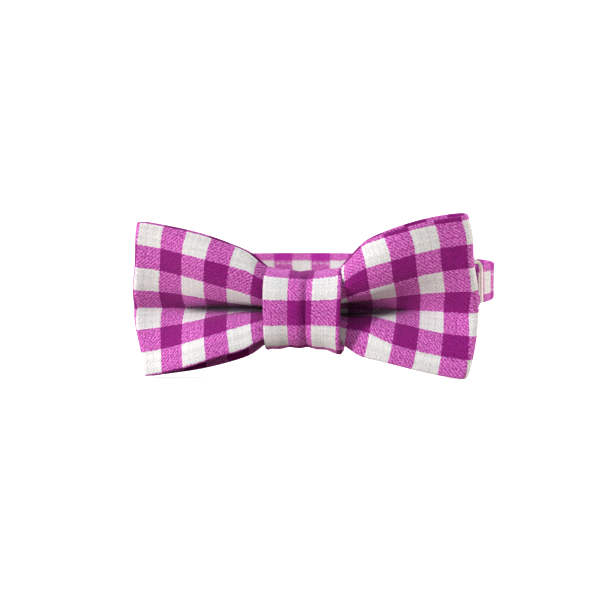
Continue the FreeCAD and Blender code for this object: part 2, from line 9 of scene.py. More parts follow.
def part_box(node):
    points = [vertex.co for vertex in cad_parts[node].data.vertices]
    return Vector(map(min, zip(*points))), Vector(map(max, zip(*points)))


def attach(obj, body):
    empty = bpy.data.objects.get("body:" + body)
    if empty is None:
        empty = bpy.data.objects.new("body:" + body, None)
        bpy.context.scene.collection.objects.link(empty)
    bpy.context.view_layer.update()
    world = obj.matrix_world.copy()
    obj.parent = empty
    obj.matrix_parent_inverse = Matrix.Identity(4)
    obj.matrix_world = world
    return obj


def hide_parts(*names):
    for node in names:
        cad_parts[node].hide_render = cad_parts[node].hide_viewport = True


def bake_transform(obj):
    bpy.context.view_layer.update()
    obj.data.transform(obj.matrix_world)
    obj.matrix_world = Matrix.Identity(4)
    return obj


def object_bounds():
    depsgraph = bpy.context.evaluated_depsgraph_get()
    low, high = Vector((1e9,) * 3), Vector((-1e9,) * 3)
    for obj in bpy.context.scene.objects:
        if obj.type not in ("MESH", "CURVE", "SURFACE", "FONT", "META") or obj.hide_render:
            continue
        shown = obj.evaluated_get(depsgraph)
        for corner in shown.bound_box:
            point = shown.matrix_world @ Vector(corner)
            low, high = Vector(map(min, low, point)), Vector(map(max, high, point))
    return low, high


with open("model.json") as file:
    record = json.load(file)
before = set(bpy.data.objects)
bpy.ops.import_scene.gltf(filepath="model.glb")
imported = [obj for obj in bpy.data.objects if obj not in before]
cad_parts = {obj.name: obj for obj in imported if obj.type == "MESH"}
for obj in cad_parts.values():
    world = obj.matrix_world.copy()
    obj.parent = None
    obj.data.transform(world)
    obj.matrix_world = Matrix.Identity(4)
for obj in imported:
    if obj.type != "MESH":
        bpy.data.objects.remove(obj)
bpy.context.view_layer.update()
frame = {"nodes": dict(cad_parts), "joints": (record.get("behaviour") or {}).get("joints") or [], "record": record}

# Shapes are worked out in millimetres in the CAD's own frame, and become metres in make_mesh.
MM = 0.001
CHECK = 6.35            # one square of the gingham
YARNS = 25              # yarns across one square

# ---------------------------------------------------------------- places read from the frame


def box_mm(node):
    """The low and high corners of a CAD node's box."""
    low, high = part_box(node)
    return np.array(low) / MM, np.array(high) / MM


KNOT_LOW, KNOT_HIGH = box_mm("knot_wrap")
BAND_LOW, BAND_HIGH = box_mm("left_band")
TAIL_LOW, TAIL_HIGH = box_mm("band_tail")
SLIDE_LOW, SLIDE_HIGH = box_mm("slide")
LOOP = frame["record"]["mounts"][0]
JOINTS = {joint["name"]: joint for joint in frame["joints"]}

KNOT_FRONT = 10.0       # the knot's middle lies this far behind its front
KNOT = np.array([0.0, KNOT_LOW[1] + KNOT_FRONT, (KNOT_LOW[2] + KNOT_HIGH[2]) / 2])
KNOT_HALF = (KNOT_HIGH[0] - KNOT_LOW[0]) / 2

SWING = np.array(JOINTS["right_band_swing"]["pos_m"]) / MM
HOOK_ROD = np.array(JOINTS["hook_pivot"]["pos_m"]) / MM
EYE_ROD = np.array(JOINTS["eye_pivot"]["pos_m"]) / MM
BAND_CLOTH = 0.9        # the folded band's thickness
BAND_HALF = (BAND_HIGH[2] - BAND_LOW[2]) / 2
INNER_RADIUS = LOOP["dims"]["r_mm"] + BAND_CLOTH / 2
OUTER_RADIUS = 2 * float(np.hypot(*HOOK_ROD[:2])) - INNER_RADIUS    # the rods lie midway
TURN = (OUTER_RADIUS - INNER_RADIUS) / 2
TAIL_HALF = (TAIL_HIGH[2] - TAIL_LOW[2]) / 2
TAIL_DROP = -(TAIL_HIGH[2] + TAIL_LOW[2]) / 2       # how far the tail lies below the band

# ---------------------------------------------------------------- materials


class Nodes:
    """A small helper for building a material's node tree."""

    def __init__(self, name):
        self.material = bpy.data.materials.new(name)
        self.material.use_nodes = True
        self.tree = self.material.node_tree
        self.tree.nodes.clear()
        self.output = self.tree.nodes.new("ShaderNodeOutputMaterial")

    def add(self, kind, **values):
        node = self.tree.nodes.new("ShaderNode" + kind)
        for key, value in values.items():
            setattr(node, key, value)
        return node

    def link(self, source, target):
        self.tree.links.new(source, target)

    def put(self, socket, value):
        """Feed a socket from another socket or a plain value."""
        if isinstance(value, bpy.types.NodeSocket):
            self.link(value, socket)
        else:
            socket.default_value = value

    def math(self, operation, first, second=0.0, third=None, clamp=False):
        node = self.add("Math", operation=operation, use_clamp=clamp)
        self.put(node.inputs[0], first)
        self.put(node.inputs[1], second)
        if third is not None:
            self.put(node.inputs[2], third)
        return node.outputs[0]

    def vector_math(self, operation, first, second):
        node = self.add("VectorMath", operation=operation)
        self.put(node.inputs[0], first)
        self.put(node.inputs["Scale" if operation == "SCALE" else 1], second)
        return node.outputs[0]

    def mix(self, factor, first, second):
        node = self.add("Mix", data_type="RGBA")
        self.put(node.inputs[0], factor)
        self.put(node.inputs[6], first)
        self.put(node.inputs[7], second)
        return node.outputs[2]

    def noise(self, vector, scale, detail=2.0):
        node = self.add("TexNoise")
        self.link(vector, node.inputs["Vector"])
        node.inputs["Scale"].default_value = scale
        node.inputs["Detail"].default_value = detail
        return node.outputs["Fac"]

    def bump(self, height, distance, strength=1.0, below=None):
        node = self.add("Bump")
        self.put(node.inputs["Height"], height)
        node.inputs["Distance"].default_value = distance
        node.inputs["Strength"].default_value = strength
        if below is not None:
            self.link(below, node.inputs["Normal"])
        return node.outputs["Normal"]

    def surface(self, values):
        """The finished material: one principled surface with the given inputs."""
        body = self.add("BsdfPrincipled")
        for name, value in values.items():
            self.put(body.inputs[name], value)
        self.link(body.outputs[0], self.output.inputs["Surface"])
        return self.material


PALE_YARN = (0.93, 0.31, 0.78, 1)       # where a purple and a white yarn cross
DYED_YARN = (0.42, 0.005, 0.28, 1)
DARK_WARP = (0.40, 0.014, 0.27, 1)      # where two purple yarns cross
DARK_WEFT = (0.17, 0.0025, 0.11, 1)
PAINTED_LIGHT_YARN = (0.62, 0.04, 0.50, 1)      # painted light: the lighter purple that the band's dark squares are lightened towards, as if better lit
WHITE_WARP = (0.90, 0.885, 0.86, 1)
WHITE_WEFT = (0.76, 0.74, 0.715, 1)
WANDER_SCALE, WANDER = 7.0, 0.10        # how often, and how far in squares, the yarns wander
WEAVE_SHARE, SPECKLE_SHARE, DYE_SHOWS = 0.38, 0.62, 0.10    # what makes up the medium squares
SPECKLE_SCALE, SPECKLE_GAIN, SPECKLE_BIAS = 13.0, 4.5, -1.75
UNEVEN = 0.13                           # how much the dye varies from yarn to yarn
YARN_DIP = 0.6                          # how far a yarn dips where it passes under another
# Painted shade in the cloth's folds: a deep purple multiplied into the colour where little open sky is seen.
CREVICE_REACH = 0.010                   # metres within which cloth shades other cloth
CREVICE_FROM, CREVICE_TO = 0.32, 0.52   # shares of open sky: painted shade at full strength, and none
FOLD_SHADE_COLOUR = (0.07, 0.012, 0.07, 1)


def stripes(nodes, yarn):
    """1 on the purple yarns of one direction, 0 on the white ones, from the yarn's number."""
    square = nodes.math("FLOOR", nodes.math("DIVIDE", nodes.math("ADD", yarn, 0.5), YARNS))
    return nodes.math("LESS_THAN", nodes.math("FRACT", nodes.math("MULTIPLY", square, 0.5)), 0.25)


def chance(nodes, first, second=0.0):
    """A number from 0 to 1 that belongs to one yarn, or to one crossing of two."""
    pair = nodes.add("CombineXYZ")
    nodes.put(pair.inputs[0], first)
    nodes.put(pair.inputs[1], second)
    white = nodes.add("TexWhiteNoise", noise_dimensions="3D")
    nodes.link(pair.outputs[0], white.inputs["Vector"])
    return white.outputs["Value"]


def yarn_round(nodes, place):
    """How high a round yarn stands across its own width; place is counted in yarns."""
    return nodes.math("SINE", nodes.math("MULTIPLY", nodes.math("FRACT", place), math.pi))


def wandering(nodes, uv):
    """The cloth's coordinates counted in yarns, with the yarns wandering a little."""
    noise = nodes.add("TexNoise")
    nodes.link(uv, noise.inputs["Vector"])
    noise.inputs["Scale"].default_value = WANDER_SCALE
    noise.inputs["Detail"].default_value = 3.0
    shift = nodes.vector_math("SUBTRACT", noise.outputs["Color"], (0.5, 0.5, 0.5))
    moved = nodes.vector_math("ADD", uv, nodes.vector_math("SCALE", shift, WANDER))
    split = nodes.add("SeparateXYZ")
    nodes.link(moved, split.inputs[0])
    return [nodes.math("MULTIPLY", split.outputs[k], YARNS) for k in (0, 1)]


def yarn_colour(nodes, column, row, on_top, speckle):
    """White, half dyed or fully dyed cloth at a crossing of two yarns."""
    shows = nodes.math("ADD", nodes.math("MULTIPLY", column, on_top),
                       nodes.math("MULTIPLY", row, nodes.math("SUBTRACT", 1.0, on_top)))
    spotted = nodes.math("MULTIPLY_ADD", speckle, SPECKLE_SHARE, DYE_SHOWS)
    shows = nodes.math("MULTIPLY_ADD", shows, WEAVE_SHARE, spotted, clamp=True)
    relief = nodes.math("MULTIPLY_ADD", on_top, 0.5, nodes.math("MULTIPLY", speckle, 0.5))
    medium = nodes.mix(shows, PALE_YARN, DYED_YARN)
    dark = nodes.mix(relief, DARK_WARP, DARK_WEFT)
    white = nodes.mix(relief, WHITE_WARP, WHITE_WEFT)
    count = nodes.math("ADD", column, row)
    some = nodes.math("GREATER_THAN", count, 0.5)
    both = nodes.math("GREATER_THAN", count, 1.5)
    return nodes.mix(both, nodes.mix(some, white, medium), dark)


def fold_shade(nodes):
    """Painted shade: white on open cloth and a deep purple far down in a fold, to multiply into the colour."""
    open_sky = nodes.add("AmbientOcclusion", samples=8, only_local=True)
    open_sky.inputs["Distance"].default_value = CREVICE_REACH
    ramp = nodes.add("MapRange")
    nodes.link(open_sky.outputs["AO"], ramp.inputs["Value"])
    ramp.inputs["From Min"].default_value = CREVICE_FROM
    ramp.inputs["From Max"].default_value = CREVICE_TO
    return nodes.mix(ramp.outputs["Result"], FOLD_SHADE_COLOUR, (1, 1, 1, 1))


def gingham(name, lift_share=0.0, base=0.68):
    """Woven cotton checks, yarn by yarn, from a UV map whose unit is one square.

    The dark squares can be lightened by a given share, as painted light for cloth meant to look better lit than
    the scene's light makes it; base is the cloth's overall lightness.
    """
    nodes = Nodes(name)
    uv = nodes.add("UVMap", uv_map="cloth").outputs["UV"]
    along, across = wandering(nodes, uv)
    warp, weft = nodes.math("FLOOR", along), nodes.math("FLOOR", across)
    column, row = stripes(nodes, warp), stripes(nodes, weft)
    # a 2/2 twill: the step from row to row is one yarn in four
    step = nodes.math("MULTIPLY_ADD", nodes.math("ADD", warp, weft), 0.25, 0.125)
    on_top = nodes.math("GREATER_THAN", nodes.math("FRACT", step), 0.5)
    speckle = nodes.math("MULTIPLY_ADD", nodes.noise(uv, SPECKLE_SCALE),
                         SPECKLE_GAIN, SPECKLE_BIAS, clamp=True)
    colour = yarn_colour(nodes, column, row, on_top, speckle)
    # painted light: the dark squares are lightened towards a paler purple, standing in for brighter light
    painted_light_share = nodes.math("MULTIPLY", nodes.math("MULTIPLY", column, row), lift_share)
    colour = nodes.mix(painted_light_share, colour, PAINTED_LIGHT_YARN)

    # each yarn and each crossing takes the dye a little differently
    uneven = nodes.math("ADD", chance(nodes, warp, 7.0), chance(nodes, weft, 31.0))
    uneven = nodes.math("MULTIPLY_ADD", chance(nodes, warp, weft), 1.2, uneven)
    uneven = nodes.math("MULTIPLY_ADD", nodes.noise(uv, 1.3), 1.2, uneven)
    lightness = nodes.math("MULTIPLY_ADD", uneven, UNEVEN, base)
    # painted shade: the colour is darkened in the cloth's folds and hollows
    fold_shaded = nodes.vector_math("MULTIPLY", colour, fold_shade(nodes))

    warp_high = nodes.math("MULTIPLY", yarn_round(nodes, along),
                           nodes.math("MULTIPLY_ADD", on_top, YARN_DIP, 1.0 - YARN_DIP))
    weft_high = nodes.math("MULTIPLY", yarn_round(nodes, across),
                           nodes.math("MULTIPLY_ADD", on_top, -YARN_DIP, 1.0))
    weave = nodes.bump(nodes.math("MAXIMUM", warp_high, weft_high), 0.00012, 0.9)
    fuzz = nodes.bump(nodes.noise(uv, 60.0), 0.00005, 0.5, below=weave)
    return nodes.surface({
        "Base Color": nodes.vector_math("SCALE", fold_shaded, lightness), "Normal": fuzz,
        "Roughness": 0.9, "Specular IOR Level": 0.15,
        "Sheen Weight": 0.12, "Sheen Roughness": 0.35})


def thread_material(name, colour):
    """Two-ply sewing thread: fine diagonal ridges and a faint sheen."""
    nodes = Nodes(name)
    place = nodes.add("TexCoord").outputs["Object"]
    wave = nodes.add("TexWave", wave_type="BANDS", bands_direction="DIAGONAL")
    nodes.link(place, wave.inputs["Vector"])
    wave.inputs["Scale"].default_value = 900.0
    shade = nodes.mix(wave.outputs["Fac"], tuple(c * 0.72 for c in colour[:3]) + (1,), colour)
    return nodes.surface({
        "Base Color": shade, "Normal": nodes.bump(wave.outputs["Fac"], 0.00004),
        "Roughness": 0.55, "Sheen Weight": 0.2})


def nickel_material(name):
    """Polished nickel plate: bright, faintly warm, with fine rubbing and soft waviness."""
    nodes = Nodes(name)
    place = nodes.add("TexCoord").outputs["Object"]
    wear = nodes.noise(place, 900.0, 4.0)
    wavy = nodes.noise(place, 120.0)
    return nodes.surface({
        "Metallic": 1.0,
        "Base Color": nodes.mix(wavy, (0.96, 0.94, 0.90, 1), (0.82, 0.79, 0.75, 1)),
        "Roughness": nodes.math("MULTIPLY_ADD", wear, 0.16, 0.07),
        "Normal": nodes.bump(wavy, 0.00006, 0.5)})


def stiffener_material(name):
    """Plain white woven interlining."""
    nodes = Nodes(name)
    place = nodes.add("TexCoord").outputs["Object"]
    check = nodes.add("TexChecker")
    nodes.link(place, check.inputs["Vector"])
    check.inputs["Scale"].default_value = 1800.0
    check.inputs["Color1"].default_value = (0.80, 0.79, 0.76, 1)
    check.inputs["Color2"].default_value = (0.68, 0.67, 0.64, 1)
    return nodes.surface({
        "Base Color": check.outputs["Color"],
        "Normal": nodes.bump(check.outputs["Fac"], 0.00005), "Roughness": 0.9})


COTTON = gingham("gingham_cotton")
# painted light: the band's own copy of the cloth, with its dark squares lightened and its overall lightness
# raised, so the band looks as well lit as the bow
BAND_COTTON_PAINTED_LIGHT = gingham("band_cotton_painted_light", lift_share=0.5, base=0.74)
THREAD = thread_material("sewing_thread", (0.90, 0.86, 0.86, 1))
NICKEL = nickel_material("polished_nickel")
STIFFENER = stiffener_material("interlining")

# ---------------------------------------------------------------- mesh helpers


def make_mesh(name, points, faces, material, uvs=None):
    """A smooth mesh from points in millimetres; uvs holds one pair for each corner of each face."""
    mesh = bpy.data.meshes.new(name)
    mesh.from_pydata((np.asarray(points) * MM).tolist(), [], faces)
    if uvs is not None:
        layer = mesh.uv_layers.new(name="cloth")
        layer.data.foreach_set("uv", np.asarray(uvs, np.float32).ravel())
    mesh.polygons.foreach_set("use_smooth", [True] * len(mesh.polygons))
    mesh.materials.append(material)
    piece = bpy.data.objects.new(name, mesh)
    bpy.context.scene.collection.objects.link(piece)
    return piece


def skin(rings, leave, arrive):
    """Points, faces and corner uvs of a closed skin over rings.

    A face between two columns takes its uvs from leave at the first and arrive at the second.
    """
    count, size = rings.shape[:2]
    points = rings.reshape(-1, 3)
    faces, corners = [], []
    for i in range(count - 1):
        for j in range(size):
            k = (j + 1) % size
            faces.append((i * size + j, i * size + k, (i + 1) * size + k, (i + 1) * size + j))
            corners += [leave[i, j], arrive[i, k], arrive[i + 1, k], leave[i + 1, j]]
    for i, order in ((0, range(size - 1, -1, -1)), (count - 1, range(size))):
        order = list(order)
        faces.append([i * size + j for j in order])
        corners += [leave[i, j] for j in order]
    return points, faces, np.array(corners)


def normals_of(grid):
    """Unit normals of a grid of points."""
    normal = np.cross(np.gradient(grid, axis=0), np.gradient(grid, axis=1))
    return normal / np.linalg.norm(normal, axis=2, keepdims=True)


def ribbon(name, grid, along, across, thickness, material, round_steps=4):
    """Cloth folded flat: a closed skin round a grid of middle points, with rounded edges.

    grid[i][j] runs along the ribbon (i) and across it (j); along[i][j] and across[i][j] are the
    same places measured on the cloth in squares. The cloth runs on round both edges and meets
    itself at a seam down the middle of its hidden face.
    """
    normal = normals_of(grid)
    half = thickness / 2
    outward = np.gradient(grid, axis=1)
    outward /= np.linalg.norm(outward, axis=2, keepdims=True)
    turns = [math.pi * step / (round_steps + 1) for step in range(1, round_steps + 1)]
    last = grid.shape[1] - 1
    seam = last // 2
    rim = half * math.pi / CHECK
    columns, lie, leave, arrive = [], [], [], []

    def add(points, u, v, v_before=None):
        columns.append(points)
        lie.append(u)
        leave.append(v)
        arrive.append(v if v_before is None else v_before)

    for j in range(last + 1):
        add(grid[:, j] + half * normal[:, j], along[:, j], across[:, j])
    for turn in turns:
        side = half * (math.cos(turn) * normal[:, last] + math.sin(turn) * outward[:, last])
        add(grid[:, last] + side, along[:, last], across[:, last] + half * turn / CHECK)
    for j in range(last, -1, -1):
        over = rim + 2 * across[:, last] - across[:, j]
        under = 2 * across[:, 0] - across[:, j] - rim
        add(grid[:, j] - half * normal[:, j], along[:, j],
            over if j > seam else under, over if j >= seam else under)
    for turn in turns:
        side = half * (math.cos(turn) * normal[:, 0] + math.sin(turn) * outward[:, 0])
        add(grid[:, 0] - side, along[:, 0], across[:, 0] - rim + half * turn / CHECK)
    place = np.stack(lie, axis=1)
    points, faces, corners = skin(np.stack(columns, axis=1),
                                  np.stack([place, np.stack(leave, axis=1)], axis=2),
                                  np.stack([place, np.stack(arrive, axis=1)], axis=2))
    return make_mesh(name, points, faces, material, corners)


def smooth_rows(values, width):
    """Gaussian smoothing along the first axis, ends held."""
    reach = int(3 * width) + 1
    weights = np.exp(-0.5 * (np.arange(-reach, reach + 1) / width) ** 2)
    weights /= weights.sum()
    padded = np.concatenate([np.repeat(values[:1], reach, 0), values,
                             np.repeat(values[-1:], reach, 0)])
    shifted = [padded[k:k + len(values)] * weight for k, weight in enumerate(weights)]
    return sum(shifted)


def lengths_along(points):
    """How far along its line each point lies; the first axis runs along the line."""
    step = np.linalg.norm(np.diff(points, axis=0), axis=-1)
    return np.concatenate([np.zeros((1,) + step.shape[1:]), np.cumsum(step, axis=0)])


def resample(points, distances):
    """Points of a polyline at given distances along it."""
    run = lengths_along(points)
    return np.stack([np.interp(distances, run, points[:, k]) for k in range(3)], axis=1)


# ---------------------------------------------------------------- the bow

STATIONS = (0.0, 0.33, 0.66, 1.0)       # from the knot's mouth to the outer fold
MOUTH = 9.9                             # where the wing leaves the knot
WING_REACH = 37.0
FOLD_BULGE = 1.1                        # how far the outer fold stands past that
BOW_CLOTH = 0.9
BOW_LINING = 0.4
FRONT_STEPS, FOLD_STEPS, BACK_STEPS, WAIST_STEPS = 76, 13, 50, 8

# Each wing's own shape. "top" and "base" are the cloth above and below the crease, "level" is the
# crease's height and "columns" where the squares start. "up" and "down" say how far
# the front leaf leans from upright, in degrees, at the four stations, for places on the cloth
# counted in squares from the crease. Positive leans lead out of the crease.
# "back_top" and "back_base" put the back leaf's edges further up and down at the stations.
# "reach" is the cloth from the mouth to the outer fold, and "short_..." how much less there is at
# the top edge and the base, with "hollow" less between crease and top; "slip_..." moves the checks
# outward at the edges and at the crease. "gather" squares are hidden in the gathers low by the knot.
LEFT = {
    "side": -1, "top": 24.9, "base": 19.0, "columns": 9.95, "level": -1.0,
    "up_places": (0.0, 0.5, 1.5, 2.5, 3.5, 4.1),
    "up": ((79, 76, 69, 10, -52, -72), (67, 64, 52, 20, -22, -40),
           (53, 48, 29, 20, 8, 4), (44, 38, 12, 10, 6, 2)),
    "down_places": (0.0, 0.5, 1.5, 2.5, 3.0),
    "down": ((88, 88, 73, 18, -5), (82, 80, 48, 14, 4),
             (50, 46, 34, 14, 8), (24, 20, 12, 9, 7)),
    "back_top": (-0.6, -0.9, -0.8, -0.4), "back_base": (1.4, 2.3, 0.8, -0.2),
    "slip_top": (0.5, 1.4, 1.7, 1.9), "slip_crease": (0.8, 1.0, 0.7, 1.0),
    "slip_base": (0.4, 0.7, 1.2, 1.3), "short_top": -1.2, "short_base": 1.5,
    "hollow": 0.0, "reach": 35.2, "gather": 0.0,
}
RIGHT = {
    "side": 1, "top": 26.4, "base": 17.5, "columns": 1.2, "level": -0.2,
    "up_places": (0.0, 0.4, 0.7, 1.5, 2.5, 3.5, 4.3),
    "up": ((0, 55, 90, 86, 30, -48, -70), (48, 50, 54, 62, 18, 0, -25),
           (26, 28, 32, 38, 14, 8, 4), (24, 20, 16, 12, 8, 6, 4)),
    "down_places": (0.0, 0.4, 0.7, 1.0, 1.5, 2.5, 2.9),
    "down": ((0, 60, 90, 84, 57, -28, -50), (68, 67, 62, 50, 34, 0, -14),
             (40, 38, 36, 34, 28, 8, 2), (26, 24, 22, 18, 14, 10, 8)),
    "back_top": (-0.3, -0.2, -0.1, 0.1), "back_base": (-0.6, -0.9, -0.9, -0.5),
    "slip_top": (1.0, 2.2, 2.8, 4.4), "slip_crease": (0.7, 0.9, 0.8, 1.7),
    "slip_base": (1.2, 0.7, 1.1, 2.4), "short_top": -1.0, "short_base": 1.3,
    "hollow": 0.55, "reach": 34.6, "gather": 0.33,
}
CREST = (-8.6, -10.8, -10.2, -8.8)      # front of the upper swell at the four stations
CREASE_LIMIT = (1.3, 0.9, 0.4, -1.8)    # the crease stops short of the back leaf
BACK_LEAF = (2.0, 2.2, 1.6, -0.9)       # the back leaf's place at the four stations
TILT = 0.030                            # the bow hangs a little off level
WAIST = 0.42                            # how tightly the knot squeezes the leaves inside it
WAIST_FRONT, WAIST_BACK = -5.4, -1.2    # the leaves' places inside the knot
PINCH = 0.20                            # how much the mouth is drawn in against the wing
PINCH_REACH = 0.10                      # and how far that reaches, as a share of the wing
BACK_CURL = 1.1                         # how far the back leaf's edges curl towards the front
GATHER_PLACE = 0.15                     # where the gathers hide most cloth, and how widely
GATHER_DEPTH, LEAF_SWAY = 0.14, 0.10    # heights of the fine gathers and of the soft unevenness


def through_stations(values, t):
    """The smooth curve through one value for each station."""
    return np.polyval(np.polyfit(STATIONS, values, 3), t)


def leaf_profile(places, leans, extent, t, count):
    """Depth and height of the front leaf above or below the crease, for each t."""
    v = np.linspace(0.0, extent, count)
    rows = np.array([np.interp(v / CHECK, places, lean) for lean in leans])
    lean = np.array([through_stations(rows[:, k], t) for k in range(count)])
    lean = np.radians(smooth_rows(lean, count * 0.045))
    middle = (lean[1:] + lean[:-1]) / 2
    step = np.diff(v)[:, None]
    start = np.zeros((1, len(t)))
    depth = np.concatenate([start, np.cumsum(np.sin(middle) * step, axis=0)])
    height = np.concatenate([start, np.cumsum(np.cos(middle) * step, axis=0)])
    return v, depth, height


def front_leaf(wing, t, count):
    """Cloth measure v, and depth y and height z of the front leaf, [v][t], base edge first."""
    up_v, up_depth, up_height = leaf_profile(wing["up_places"], wing["up"], wing["top"], t, count)
    down_v, down_depth, down_height = leaf_profile(
        wing["down_places"], wing["down"], wing["base"], t, count)
    crest = through_stations(CREST, t)
    deepest = up_depth.max(axis=0)
    squeeze = np.minimum(1.0, (through_stations(CREASE_LIMIT, t) - crest) / deepest)
    crease = crest + deepest * squeeze
    y = np.concatenate([(crease - down_depth * squeeze)[:0:-1], crease - up_depth * squeeze])
    z = np.concatenate([-down_height[:0:-1], up_height])
    z = z * (1 - PINCH * np.exp(-(t / PINCH_REACH) ** 2)) + wing["level"]
    v = np.concatenate([-down_v[:0:-1], up_v])
    return v, smooth_rows(y, 1.2), smooth_rows(z, 1.2)


def slipped(wing, t, rise):
    crease = through_stations(wing["slip_crease"], t)
    edge = through_stations(wing["slip_top" if rise > 0 else "slip_base"], t)
    return crease + (edge - crease) * rise ** 2


def wing_row(wing, t, y, z, rise, share, low, high):
    """One thread of cloth: out along the front leaf, round the outer fold, back to the waist."""
    short = wing["short_top" if rise > 0 else "short_base"] * rise ** 2
    short += wing["hollow"] * math.sin(math.pi * max(rise, 0.0))
    line = np.stack([MOUTH + WING_REACH * t, y, z], axis=1)
    front = resample(line, np.linspace(0.0, wing["reach"] - short, FRONT_STEPS))
    end = front[-1]
    back_t = np.linspace(1.0, 0.0, BACK_STEPS)
    back_z = np.interp(back_t, t, low + (high - low) * share)
    back_z = back_z - (1 - share) * through_stations(wing["back_base"], back_t)
    back_z = back_z + share * through_stations(wing["back_top"], back_t)
    back_y = through_stations(BACK_LEAF, back_t) - BACK_CURL * (2 * share - 1) ** 4
    back = np.stack([MOUTH + (end[0] - MOUTH) * back_t, back_y, back_z], axis=1)
    turn = np.linspace(0, math.pi, FOLD_STEPS + 2)[1:-1]
    fold = np.stack([end[0] + FOLD_BULGE * np.sin(turn),
                     end[1] + (back_y[0] - end[1]) * (1 - np.cos(turn)) / 2,
                     end[2] + (back_z[0] - end[2]) * turn / math.pi], axis=1)
    ease = np.linspace(0, 1, WAIST_STEPS + 1)
    into = waist(front[0], WAIST_FRONT, ease[:-1])
    out = waist(back[-1], WAIST_BACK, ease[-2::-1])
    return np.concatenate([into, front, fold, back, out])


def waist(mouth, depth, ease):
    """The cloth gathered inside the knot, from its middle (ease 0) to the mouth (ease 1)."""
    z = mouth[2] * (WAIST + (1 - WAIST) * ease ** 5)
    y = depth + (mouth[1] - depth) * ease ** 3
    return np.stack([mouth[0] * ease, y, z], axis=1)


def wing_rows(wing, count=46):
    """The wing's middle surface [u][v], with the cloth's measures u and v."""
    t = np.linspace(0.0, 1.08, 80)
    v, y, z = front_leaf(wing, np.minimum(t, 1.0), count)
    rise = np.where(v > 0, v / wing["top"], v / wing["base"])
    share = (v + wing["base"]) / (wing["base"] + wing["top"])
    rows = [wing_row(wing, t, y[j], z[j], rise[j], share[j], z[0], z[-1])
            for j in range(len(v))]
    grid = smooth_rows(np.stack(rows, axis=1), 1.3)
    measure = lengths_along(grid)
    u = measure - measure[WAIST_STEPS]
    out = np.clip((grid[:, :, 0] - MOUTH) / WING_REACH, 0.0, 1.0)
    for j in range(len(v)):
        u[:, j] -= slipped(wing, out[:, j], rise[j])
    grid = pleat(grid, u, v, wing["side"])
    grid[:, :, 0] *= wing["side"]
    near = np.exp(-((out - GATHER_PLACE) / GATHER_PLACE) ** 2)
    hidden = np.sin(math.pi * np.minimum(rise, 0.0))[None] * near
    return tilted(grid) + KNOT, u, v[None] + wing["gather"] * CHECK * hidden


def tilted(grid):
    """The grid turned a little about the knot's middle, seen from the front."""
    return np.stack([grid[:, :, 0] + TILT * grid[:, :, 2], grid[:, :, 1],
                     grid[:, :, 2] - TILT * grid[:, :, 0]], axis=2)


def pleat(grid, u, v, side):
    """Fine gathers that run out of the knot, and a faint unevenness over the leaf."""
    lift_share = np.exp(-np.maximum(u, 0.0) / 7.0)
    wave = np.sin(v / 0.85 + side * 1.3) + 0.6 * np.sin(v / 0.47 + 2.0 + side)
    lift = GATHER_DEPTH * lift_share * wave[None, :]
    lift = lift + LEAF_SWAY * np.sin(u / 4.3 + side) * np.sin(v / 5.1 + 0.7)[None, :]
    return grid + normals_of(grid) * lift[:, :, None]


def on_bow(piece, node):
    """A cloth piece that rides the bow and stands for one CAD node."""
    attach(piece, "bow")
    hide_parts(node)


def bow():
    """One strip of folded cloth: left back, left fold, front, right fold, right back."""
    left, left_u, left_v = wing_rows(LEFT)
    right, right_u, right_v = wing_rows(RIGHT)
    grid = np.concatenate([left[::-1], right[1:]])
    along = np.concatenate([((left_u - LEFT["columns"]) / CHECK)[::-1],
                            ((right_u - RIGHT["columns"]) / CHECK)[1:]])
    across = np.concatenate([left_v[::-1], right_v[1:]]) / CHECK
    cloth = ribbon("bow_cloth", grid, along, across, BOW_CLOTH, COTTON)
    inside = ribbon("bow_stiffener", grid[3:-3, 2:-2], along[3:-3, 2:-2], across[3:-3, 2:-2],
                    BOW_LINING, STIFFENER, 2)
    on_bow(cloth, "bow_shell")
    on_bow(inside, "bow_interlining")


# ---------------------------------------------------------------- the knot

KNOT_CLOTH = 0.9
KNOT_LINING = 0.35
KNOT_HEIGHT = 9.8                       # half the knot's height at its middle
KNOT_FLARE_LEFT, KNOT_FLARE_RIGHT = 0.85, 1.45      # and how much more that is at its rims
KNOT_TURN, KNOT_TIGHT = 6.2, 1.6        # radii of its turns in front and behind
KNOT_TAPER = 1.6                        # how much lower the turn behind the top lies
KNOT_PLEATS = ((0.9, 1.0, 1.0), (-4.0, 0.3, 1.5))   # place, depth and width of each dent
KNOT_BULGE = 0.7                        # how far the front swells between top and underside
KNOT_LOW_BY = 0.25                      # the wrap hangs this far below the waist's middle
OVERLAP = 1.25                          # the inner end lies this far inside the outer one
INNER_END, OUTER_END = -4.0, 5.0        # heights of the wrap's two ends
KNOT_COLUMN, KNOT_ROW = 3.85, 3.75      # where the squares start, across and down the front
TOP_EASE, TOP_EASE_FROM = 0.10, 2.4     # the squares crowd a little over the top


def knot_path(half_height, front, back, steps):
    """One turn round the waist, seen along X: inner end, top, front, underside, outer end."""
    turn, tight = KNOT_TURN, KNOT_TIGHT
    inner = back - OVERLAP
    corners = [(inner, INNER_END)]
    for y, z, radius, start in ((inner - tight, half_height - tight - KNOT_TAPER, tight, 0),
                                (front + turn, half_height - turn, turn, 90),
                                (front + turn, turn - half_height, turn, 180),
                                (back - tight, tight - half_height, tight, 270)):
        for angle in np.radians(np.linspace(start, start + 90, 10)):
            corners.append((y + radius * math.cos(angle), z + radius * math.sin(angle)))
    corners.append((back, OUTER_END))
    points = np.array([(0.0, y, z) for y, z in corners])
    return resample(points, np.linspace(0.0, lengths_along(points)[-1], steps))


